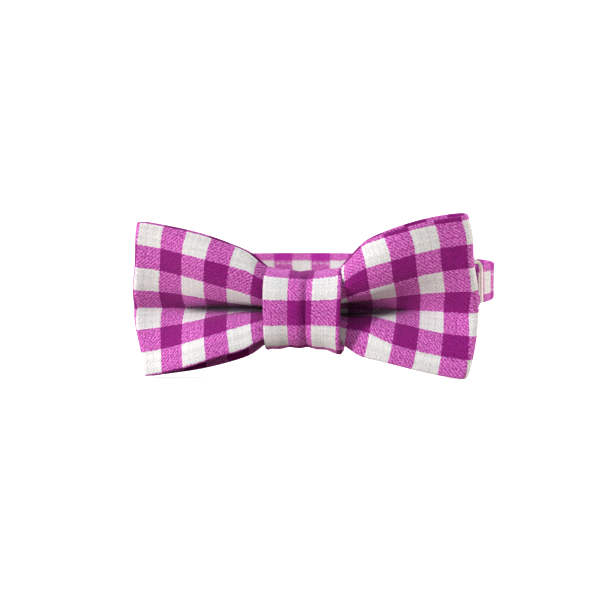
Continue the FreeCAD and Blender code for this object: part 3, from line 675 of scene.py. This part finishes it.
def knot_grid(across_steps=47, round_steps=160):
    """The wrapped strip's middle surface: proud rims, drawn-in middle, soft pleats."""
    width = np.linspace(-1.0, 1.0, across_steps)
    grid = np.zeros((round_steps, across_steps, 3))
    back = KNOT_HIGH[1] - KNOT[1] - KNOT_CLOTH / 2
    for j, a in enumerate(width):
        x = a * (KNOT_HALF - KNOT_CLOTH / 2 + 0.15)
        flare = abs(a) ** 2.2
        half_height = KNOT_HEIGHT + flare * (KNOT_FLARE_LEFT if a < 0 else KNOT_FLARE_RIGHT)
        dent = sum(deep * math.exp(-((x - at) / wide) ** 2) for at, deep, wide in KNOT_PLEATS)
        front = -KNOT_FRONT + KNOT_CLOTH / 2 + dent - 0.3 * flare
        path = knot_path(half_height, front, back, round_steps)
        ahead = path[:, 1] < front + 2.5
        path[:, 1] -= KNOT_BULGE * np.exp(-(path[:, 2] / 6.0) ** 2) * ahead
        edge = np.clip((np.abs(path[:, 2]) - half_height + 3.0) / 3.0, 0.0, 1.0) ** 2
        path[:, 2] += 0.16 * math.sin(x * 1.25 + 0.2) * edge
        path[:, 2] += 0.03 * x * np.exp(-(path[:, 2] / 9.0) ** 2) * ahead
        path[:, 2] -= KNOT_LOW_BY
        path[:, 0] = x + 0.18 * np.sin(path[:, 2] / 5.0) * a
        grid[:, j] = path
    return tilted(smooth_rows(grid, 1.0))


def knot():
    """The knot's gingham wrap, and the lining that follows it inside."""
    grid = knot_grid()
    round_steps, across_steps = grid.shape[:2]
    middle = across_steps // 2
    run = lengths_along(grid)[:, middle]
    front = grid[:, middle, 1] < -KNOT_FRONT / 2
    start = np.interp(0.0, -grid[front, middle, 2], run[front])
    along = np.repeat(((grid[0, :, 0] + KNOT_COLUMN) / CHECK)[None], round_steps, 0)
    rise = start - run
    rise = rise + TOP_EASE * np.maximum(rise - TOP_EASE_FROM, 0.0)
    across = np.repeat(((rise + KNOT_ROW) / CHECK)[:, None], across_steps, 1)
    cloth = turned_ribbon("knot_cloth", grid + KNOT, along, across, KNOT_CLOTH, COTTON)
    on_bow(cloth, "knot_wrap")
    inside = turned_ribbon("knot_stiffener", (grid + KNOT)[4:-4, 2:-2], along[4:-4, 2:-2],
                           across[4:-4, 2:-2], KNOT_LINING, STIFFENER)
    on_bow(inside, "knot_interlining")


def turned_ribbon(name, grid, along, across, thickness, material):
    """A ribbon whose folded edges run round the knot, so its squares run on across X."""
    piece = ribbon(name, grid, across, along, thickness, material)
    layer = piece.data.uv_layers["cloth"]
    uv = np.zeros(len(layer.data) * 2, np.float32)
    layer.data.foreach_get("uv", uv)
    layer.data.foreach_set("uv", uv.reshape(-1, 2)[:, ::-1].ravel())
    return piece


# ---------------------------------------------------------------- the neckband

EYE_ANGLE = math.degrees(math.atan2(EYE_ROD[1], EYE_ROD[0]))
HOOK_ANGLE = math.degrees(math.atan2(HOOK_ROD[1], HOOK_ROD[0]))
SLIDE_ANGLE = math.degrees(math.atan2((SLIDE_LOW[1] + SLIDE_HIGH[1]) / 2,
                                      (SLIDE_LOW[0] + SLIDE_HIGH[0]) / 2))
ROOT_Y = SWING[1]                       # both sides leave the knot on this line
LEFT_ROOT = -10.4                       # where the left side comes out of the knot
LEFT_START, RIGHT_START = 7.6, 8.0      # where each side's cloth starts inside the knot
TURN_BACK = 8.0                         # degrees of cloth folded back past a clasp's rod
TAIL_START = 9.5                        # degrees from the hook's rod to the tail's first end
TAIL_END = 5.0                          # degrees of tail past the slide's rod
TAIL_RADIUS = 1.0                       # the tail's turn round the slide's rod
BAND_NARROW = 0.45                      # how much narrower the right side shows, at each edge
LEFT_RISE, TAIL_SAG = 1.3, 0.7          # the back's rise and the loose end's sag
BAND_SWAY = 0.12                        # a slight unevenness of the cloth
STITCH_ROWS = (-2.2, 2.2)               # heights of the two rows of stitches
STITCH_PITCH, STITCH_LENGTH, STITCH_RADIUS, STITCH_SIDES = 2.1, 1.5, 0.14, 8
STITCH_FLAT = 0.8                       # how far a stitch is flattened against the cloth
STITCH_PROFILE = ((-0.5, 0.25), (-0.42, 0.75), (-0.25, 1.0),    # shares of length and radius
                  (0.25, 1.0), (0.42, 0.75), (0.5, 0.25))


def ring_arc(radius, start, end, step=1.5):
    """Points of the ring between two angles in degrees."""
    count = max(int(abs(end - start) / step), 2) + 1
    angles = np.radians(np.linspace(start, end, count))
    return np.stack([radius * np.cos(angles), radius * np.sin(angles), 0 * angles], axis=1)


def turn_round(rod, start, end, radius, steps=12):
    """Points of a turn round a rod, from one angle to another in degrees."""
    angles = np.radians(np.linspace(start, end, steps))
    return np.stack([rod[0] + radius * np.cos(angles), rod[1] + radius * np.sin(angles),
                     0 * angles], axis=1)


def level(share):
    """A band that hangs level all along."""
    return 0.0 * share


def band_piece(name, line, phase, row_phase, half=BAND_HALF, hang=level):
    """A band along a line seen from above, with folded edges; phases place its squares.

    hang gives its height for each share of the way along it.
    """
    run = lengths_along(line)
    line = resample(line, np.linspace(0.0, run[-1], int(run[-1] / 0.8) + 2))
    line = smooth_rows(line, 1.0)
    run = lengths_along(line)
    line[:, 2] = hang(run / run[-1])
    heights = np.linspace(BAND_CLOTH / 2 - half, half - BAND_CLOTH / 2, 9)
    grid = np.repeat(line[:, None], len(heights), 1)
    grid[:, :, 2] += heights[None]
    sway = BAND_SWAY * np.sin(run / 9.0)[:, None] * np.sin(heights / 4.0)[None]
    grid += normals_of(grid) * sway[:, :, None]
    along = np.repeat(((run + phase) / CHECK)[:, None], len(heights), 1)
    across = np.repeat(((heights + row_phase) / CHECK - 0.5)[None], len(run), 0)
    piece = ribbon(name, grid, along, across, BAND_CLOTH, BAND_COTTON_PAINTED_LIGHT, 5)
    return piece, line


def stitch(centre, ahead, aside, first):
    """Points and faces of one short rounded dash of thread; first is its first point's number."""
    up = np.array([0.0, 0.0, 1.0])
    sides = STITCH_SIDES
    points, faces = [], []
    for reach, size in STITCH_PROFILE:
        for k in range(sides):
            angle = 2 * math.pi * k / sides
            ring = aside * math.cos(angle) * STITCH_FLAT + up * math.sin(angle)
            points.append(centre + ahead * STITCH_LENGTH * reach + ring * STITCH_RADIUS * size)
    for r in range(len(STITCH_PROFILE) - 1):
        for k in range(sides):
            a, b = first + r * sides + k, first + r * sides + (k + 1) % sides
            faces.append((a, b, b + sides, a + sides))
    faces.append([first + k for k in range(sides - 1, -1, -1)])
    top = first + (len(STITCH_PROFILE) - 1) * sides
    faces.append([top + k for k in range(sides)])
    return points, faces


def stitches(name, line, offset, skip):
    """Rows of running stitches on one face of a band; skip is left bare at its two ends."""
    run = lengths_along(line)
    tangent = np.gradient(line, axis=0)
    tangent /= np.linalg.norm(tangent, axis=1, keepdims=True)
    points, faces = [], []
    for place in np.arange(skip[0] + STITCH_PITCH, run[-1] - skip[1] - STITCH_LENGTH, STITCH_PITCH):
        middle = np.array([np.interp(place, run, line[:, k]) for k in range(3)])
        ahead = np.array([np.interp(place, run, tangent[:, k]) for k in range(3)])
        ahead /= np.linalg.norm(ahead)
        aside = np.array([ahead[1], -ahead[0], 0.0])
        for height in STITCH_ROWS:
            centre = middle + aside * offset + np.array([0.0, 0.0, height])
            more_points, more_faces = stitch(centre, ahead, aside, len(points))
            points += more_points
            faces += more_faces
    piece = make_mesh(name, points, faces, THREAD)
    return piece


def sew(name, line, skip, body):
    """Stitches on both faces of a band."""
    for face, side in (("in", -1), ("out", 1)):
        sewn = stitches(f"{name}_stitches_{face}", line, side * (BAND_CLOTH / 2 + 0.02), skip)
        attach(sewn, body)


def left_hang(share):
    """The band rises a little over the back of the neck."""
    return LEFT_RISE * np.sin(math.pi * share ** 1.2) ** 2


def tail_hang(share):
    """The loose end hangs a little below the band it lies along."""
    return -TAIL_DROP - TAIL_SAG * np.sin(math.pi * share)


def settle_angle(side):
    """Where a straight run from the knot meets the ring; side is 1 on the right."""
    radius = OUTER_RADIUS if side > 0 else INNER_RADIUS
    root = np.array([SWING[0] if side > 0 else LEFT_ROOT, ROOT_Y])
    reach = float(np.hypot(*root))
    lean = math.degrees(math.acos(radius / reach))
    at = math.degrees(math.atan2(root[1], root[0]))
    return at + lean if side > 0 else at - lean + 360


def left_band():
    """The long side: behind the knot, round the back to the eye, round its rod and back."""
    line = np.concatenate([
        np.array([(LEFT_START, ROOT_Y, 0.0), (LEFT_ROOT, ROOT_Y, 0.0)]),
        ring_arc(INNER_RADIUS, settle_angle(-1), EYE_ANGLE),
        turn_round(EYE_ROD, EYE_ANGLE - 180, EYE_ANGLE, TURN),
        ring_arc(OUTER_RADIUS, EYE_ANGLE, EYE_ANGLE + TURN_BACK)])
    piece, line = band_piece("left_band_cloth", line, phase=-5.0, row_phase=0.0, hang=left_hang)
    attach(piece, "bow")
    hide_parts("left_band", "left_band_interlining")
    sew("left_band", line, skip=(20.0, 12.0), body="bow")


def right_band():
    """The short side: from the knot to the hook, round its rod and back inside."""
    line = np.concatenate([
        np.array([(RIGHT_START, ROOT_Y, 0.0), (SWING[0], ROOT_Y, 0.0)]),
        ring_arc(OUTER_RADIUS, settle_angle(1), HOOK_ANGLE),
        turn_round(HOOK_ROD, HOOK_ANGLE, HOOK_ANGLE + 180, TURN),
        ring_arc(INNER_RADIUS, HOOK_ANGLE, HOOK_ANGLE - TURN_BACK)])
    piece, line = band_piece("right_band_cloth", line, phase=4.5, row_phase=-0.3,
                             half=BAND_HALF - BAND_NARROW)
    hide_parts("right_band", "right_band_interlining")
    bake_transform(piece)
    sew("right_band", line, skip=(9.0, 14.0), body="right_strap")


def tail():
    """The band's returned end: inside the ring from the hook to the slide, round its rod."""
    rod_radius = INNER_RADIUS + TAIL_RADIUS
    rod = np.array([rod_radius * math.cos(math.radians(SLIDE_ANGLE)),
                    rod_radius * math.sin(math.radians(SLIDE_ANGLE)), 0.0])
    line = np.concatenate([
        ring_arc(INNER_RADIUS, HOOK_ANGLE - TAIL_START, SLIDE_ANGLE),
        turn_round(rod, SLIDE_ANGLE + 180, SLIDE_ANGLE + 360, TAIL_RADIUS),
        ring_arc(INNER_RADIUS + 2 * TAIL_RADIUS, SLIDE_ANGLE, SLIDE_ANGLE + TAIL_END)])
    piece, line = band_piece("tail_cloth", line, phase=1.0, row_phase=0.0, half=TAIL_HALF,
                             hang=tail_hang)
    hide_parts("band_tail")
    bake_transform(piece)


def clad(nodes, material):
    """Put a material on the CAD's own pieces."""
    for node in nodes:
        frame["nodes"][node].data.materials.clear()
        frame["nodes"][node].data.materials.append(material)


left_band()
right_band()
tail()
bow()
knot()

clad(("slide", "eye", "hook"), NICKEL)
clad(("gather_thread", "bow_end_stitches", "knot_stitches", "eye_bar_tack", "hook_bar_tack",
      "slide_bar_tack"), THREAD)

# ---------------------------------------------------------------- stage, light and camera

# the floor and the sweep behind it, in metres
FLOOR_GAP = 0.0003                      # the floor lies this far under the object
FLOOR_HALF_WIDTH = 2.5
FLOOR_FRONT, SWEEP_START = -1.6, 0.9    # its front edge, and where it starts to rise
SWEEP_RADIUS, SWEEP_TOP, SWEEP_STEPS = 0.5, 2.2, 12
SKY_DARK, SKY_BRIGHT = 0.06, 1.15       # the sky's strength at the horizon and overhead
SKY_IN_METAL, SKY_SEEN = 0.6, 1.1       # how much brighter reflections and the camera see it
FLOOR_GLOW = 0.8                        # the floor's own light, for the camera only
CAMERA_AZIMUTH = 7.1                    # degrees to the right of straight ahead
CAMERA_TURN, CAMERA_PITCH, CAMERA_ROLL = 0.06, -4.492, -0.86    # degrees, turn off the azimuth
CAMERA_DISTANCE, CAMERA_ABOVE = 383.6, 32.9     # from the knot's front, on the level and up
CAMERA_SENSOR, CAMERA_LENS, CAMERA_FSTOP = 36.0, 89.1, 34.0
FOCUS_PAST = 3.0                        # focus lies this far behind the knot's front


def floor_material():
    """Matt pale paper, bright to the camera and darker and warmer in the light it returns."""
    nodes = Nodes("pale_floor")
    place = nodes.add("TexCoord").outputs["Object"]
    paper = nodes.mix(nodes.noise(place, 3.0), (0.93, 0.93, 0.93, 1), (0.96, 0.96, 0.96, 1))
    seen = nodes.add("LightPath").outputs["Is Camera Ray"]
    return nodes.surface({
        "Base Color": nodes.mix(seen, (0.40, 0.34, 0.30, 1), paper), "Roughness": 0.9,
        "Emission Color": (1, 1, 1, 1),
        "Emission Strength": nodes.math("MULTIPLY", seen, FLOOR_GLOW)})


def backdrop():
    """A pale floor that sweeps up behind the object."""
    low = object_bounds()[0][2] - FLOOR_GAP
    profile = [(FLOOR_FRONT, low), (SWEEP_START, low)]
    for angle in np.linspace(0, math.pi / 2, SWEEP_STEPS):
        profile.append((SWEEP_START + SWEEP_RADIUS * math.sin(angle),
                        low + SWEEP_RADIUS * (1 - math.cos(angle))))
    profile.append((SWEEP_START + SWEEP_RADIUS, low + SWEEP_TOP))
    points = [(x / MM, y / MM, z / MM) for y, z in profile
              for x in (-FLOOR_HALF_WIDTH, FLOOR_HALF_WIDTH)]
    faces = [(2 * k, 2 * k + 1, 2 * k + 3, 2 * k + 2) for k in range(len(profile) - 1)]
    make_mesh("floor", points, faces, floor_material())


def area_light(name, place, target, size, power, colour=(1, 1, 1)):
    """A round lamp, size metres across, that faces the target."""
    light = bpy.data.lights.new(name, "AREA")
    light.shape = "DISK"
    light.size = size
    light.energy = power
    light.color = colour
    lamp = bpy.data.objects.new(name, light)
    lamp.location = Vector(place)
    lamp.rotation_euler = (Vector(target) - lamp.location).to_track_quat("-Z", "Y").to_euler()
    bpy.context.scene.collection.objects.link(lamp)


def sky():
    """A soft sky that brightens upwards. The camera and reflections see it brighter than it
    lights, so the ground is white and the metal shines while the cloth keeps its colour."""
    world = bpy.data.worlds.new("studio")
    world.use_nodes = True
    tree = world.node_tree
    background = tree.nodes["Background"]
    place = tree.nodes.new("ShaderNodeTexCoord")
    split = tree.nodes.new("ShaderNodeSeparateXYZ")
    ramp = tree.nodes.new("ShaderNodeMapRange")
    tree.links.new(place.outputs["Generated"], split.inputs[0])
    tree.links.new(split.outputs["Z"], ramp.inputs["Value"])
    ramp.inputs["From Min"].default_value = 0.0
    ramp.inputs["From Max"].default_value = 1.0
    ramp.inputs["To Min"].default_value = SKY_DARK
    ramp.inputs["To Max"].default_value = SKY_BRIGHT
    path = tree.nodes.new("ShaderNodeLightPath")
    strength = ramp.outputs["Result"]
    for ray, extra in (("Is Glossy Ray", SKY_IN_METAL), ("Is Camera Ray", SKY_SEEN)):
        boost = tree.nodes.new("ShaderNodeMath")
        boost.operation = "MULTIPLY_ADD"
        tree.links.new(path.outputs[ray], boost.inputs[0])
        boost.inputs[1].default_value = extra
        tree.links.new(strength, boost.inputs[2])
        strength = boost.outputs[0]
    tree.links.new(strength, background.inputs["Strength"])
    background.inputs["Color"].default_value = (0.88, 0.93, 1.0, 1)
    bpy.context.scene.world = world


def lights():
    """A strong small key from the left, a weak rim from behind and a warm fill on the right."""
    middle = Vector(KNOT) * MM
    area_light("key", (-1.50, -1.12, 0.50), middle, 0.32, 41.0, (0.98, 0.985, 1.0))
    area_light("rim", (0.1, 0.8, 0.7), middle, 0.6, 7.0)
    area_light("side", (0.95, 0.10, 0.25), middle, 0.5, 7.0, (1.0, 0.97, 0.93))
    sky()


def camera():
    """Just above the knot's height, a little to the right, as a short telephoto sees it."""
    azimuth = math.radians(CAMERA_AZIMUTH)
    front = KNOT + np.array([0.0, -KNOT_FRONT, 0.0])
    place = front + np.array([math.sin(azimuth) * CAMERA_DISTANCE,
                              -math.cos(azimuth) * CAMERA_DISTANCE, CAMERA_ABOVE])
    eye = bpy.data.objects.new("camera", bpy.data.cameras.new("camera"))
    eye.data.sensor_width = CAMERA_SENSOR
    eye.data.lens = CAMERA_LENS
    eye.data.clip_start = 0.01
    eye.data.dof.use_dof = True
    eye.data.dof.focus_distance = (CAMERA_DISTANCE + FOCUS_PAST) * MM
    eye.data.dof.aperture_fstop = CAMERA_FSTOP
    eye.location = Vector(place) * MM
    pitch = math.radians(CAMERA_PITCH)
    yaw = math.radians(CAMERA_AZIMUTH + CAMERA_TURN)
    roll = math.radians(CAMERA_ROLL)
    ahead = Vector((-math.sin(yaw) * math.cos(pitch), math.cos(yaw) * math.cos(pitch),
                    math.sin(pitch)))
    turn = ahead.to_track_quat("-Z", "Y").to_matrix()
    eye.rotation_euler = (turn @ Matrix.Rotation(roll, 3, "Z")).to_euler()
    bpy.context.scene.collection.objects.link(eye)
    bpy.context.scene.camera = eye


backdrop()
lights()
camera()
bpy.context.scene.view_settings.view_transform = "Standard"

bpy.context.view_layer.update()
